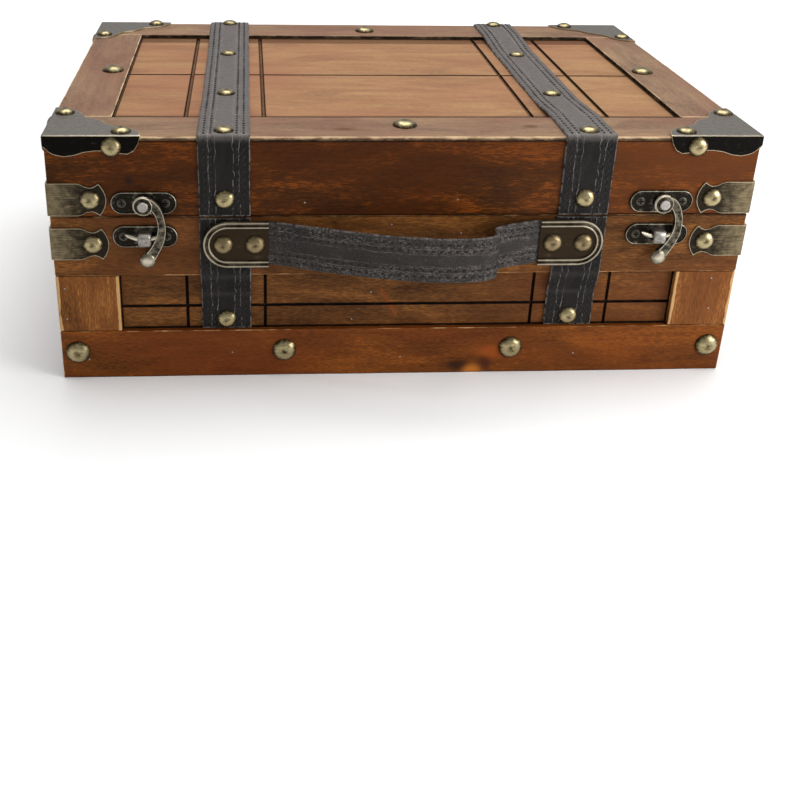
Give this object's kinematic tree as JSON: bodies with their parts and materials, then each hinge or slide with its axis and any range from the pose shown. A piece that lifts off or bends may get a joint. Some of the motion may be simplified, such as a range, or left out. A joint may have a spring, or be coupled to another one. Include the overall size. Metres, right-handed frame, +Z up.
{
  "type": "wooden suitcase box",
  "caption": "Keepsake box shaped like an old suitcase: stained boards, leather straps and handle, bronze corners, swing-hook latches and a hinged lid held by wire bails.",
  "frame": {"origin": "centre of the underside of the bottom board, on the surface that the box stands on", "axes": "+Z up, +X to the right as seen from the front, -Y out of the front that carries the latches and the handle"},
  "size_m": [0.4074, 0.3193, 0.1545],
  "materials": {
    "stained_wood": "orange-brown antique stain, satin",
    "top_wood": "lighter tan stain, satin, worn pale edges",
    "dark_leather": "dark grey-brown, matt, stitched",
    "antique_bronze": "antique bronze, brushed, bright worn rims",
    "nail_brass": "antique brass with dark blotches",
    "bronze_wire": "polished antique bronze wire"
  },
  "bodies": {
    "base": {"bottom_board": "stained_wood", "base_front_board": "stained_wood", "base_back_board": "stained_wood", "base_left_board": "stained_wood", "base_right_board": "stained_wood", "base_upper_rail": "stained_wood", "base_bottom_rail": "stained_wood", "base_left_stile": "stained_wood", "base_right_stile": "stained_wood", "bottom_rail_nail_1": "nail_brass", "bottom_rail_nail_2": "nail_brass", "bottom_rail_nail_3": "nail_brass", "bottom_rail_nail_4": "nail_brass", "left_base_strap": "dark_leather", "right_base_strap": "dark_leather", "handle_leather": "dark_leather", "left_handle_plate": "antique_bronze", "right_handle_plate": "antique_bronze", "left_latch_keeper": "antique_bronze", "right_latch_keeper": "antique_bronze", "left_hinge_base_leaf": "antique_bronze", "right_hinge_base_leaf": "antique_bronze", "left_hinge_pin": "bronze_wire", "right_hinge_pin": "bronze_wire", "base_corner_strap_front_left": "antique_bronze", "base_corner_strap_front_right": "antique_bronze", "base_corner_strap_back_left": "antique_bronze", "base_corner_strap_back_right": "antique_bronze"},
    "lid": {"lid_front_board": "stained_wood", "lid_back_board": "stained_wood", "lid_left_board": "stained_wood", "lid_right_board": "stained_wood", "lid_top_panel": "top_wood", "lid_front_rail": "top_wood", "lid_back_rail": "top_wood", "lid_left_stile": "top_wood", "lid_right_stile": "top_wood", "left_lid_strap": "dark_leather", "right_lid_strap": "dark_leather", "corner_guard_front_left": "antique_bronze", "corner_guard_front_right": "antique_bronze", "corner_guard_back_left": "antique_bronze", "corner_guard_back_right": "antique_bronze", "lid_corner_strap_front_left": "antique_bronze", "lid_corner_strap_front_right": "antique_bronze", "lid_corner_strap_back_left": "antique_bronze", "lid_corner_strap_back_right": "antique_bronze", "left_latch_plate": "antique_bronze", "right_latch_plate": "antique_bronze", "left_hinge_lid_leaf": "antique_bronze", "right_hinge_lid_leaf": "antique_bronze"},
    "left_hook": {"left_latch_hook": "antique_bronze"},
    "right_hook": {"right_latch_hook": "antique_bronze"},
    "left_bail": {"left_hinge_bail": "bronze_wire"},
    "right_bail": {"right_hinge_bail": "bronze_wire"}
  },
  "joints": [
    {"name": "lid_hinge", "type": "hinge", "parent": "base", "child": "lid", "pos_m": [0, 0.1423, 0.10365], "axis": [-1, 0, 0], "range_deg": [0, 95]},
    {"name": "left_latch_swing", "type": "hinge", "parent": "lid", "child": "left_hook", "pos_m": [-0.1475, -0.1441, 0.1121], "axis": [0, -1, 0], "range_deg": [0, 90]},
    {"name": "right_latch_swing", "type": "hinge", "parent": "lid", "child": "right_hook", "pos_m": [0.1475, -0.1441, 0.1121], "axis": [0, -1, 0], "range_deg": [0, 90]},
    {"name": "left_bail_swing", "type": "hinge", "parent": "lid", "child": "left_bail", "pos_m": [-0.143, 0.1423, 0.11635], "axis": [-1, 0, 0], "range_deg": [-72, 0]},
    {"name": "right_bail_swing", "type": "hinge", "parent": "lid", "child": "right_bail", "pos_m": [0.143, 0.1423, 0.11635], "axis": [-1, 0, 0], "range_deg": [-72, 0]}
  ],
  "couplings": [
    {"joint": "left_bail_swing", "follows": "lid_hinge", "ratio": -0.755},
    {"joint": "right_bail_swing", "follows": "lid_hinge", "ratio": -0.755}
  ]
}
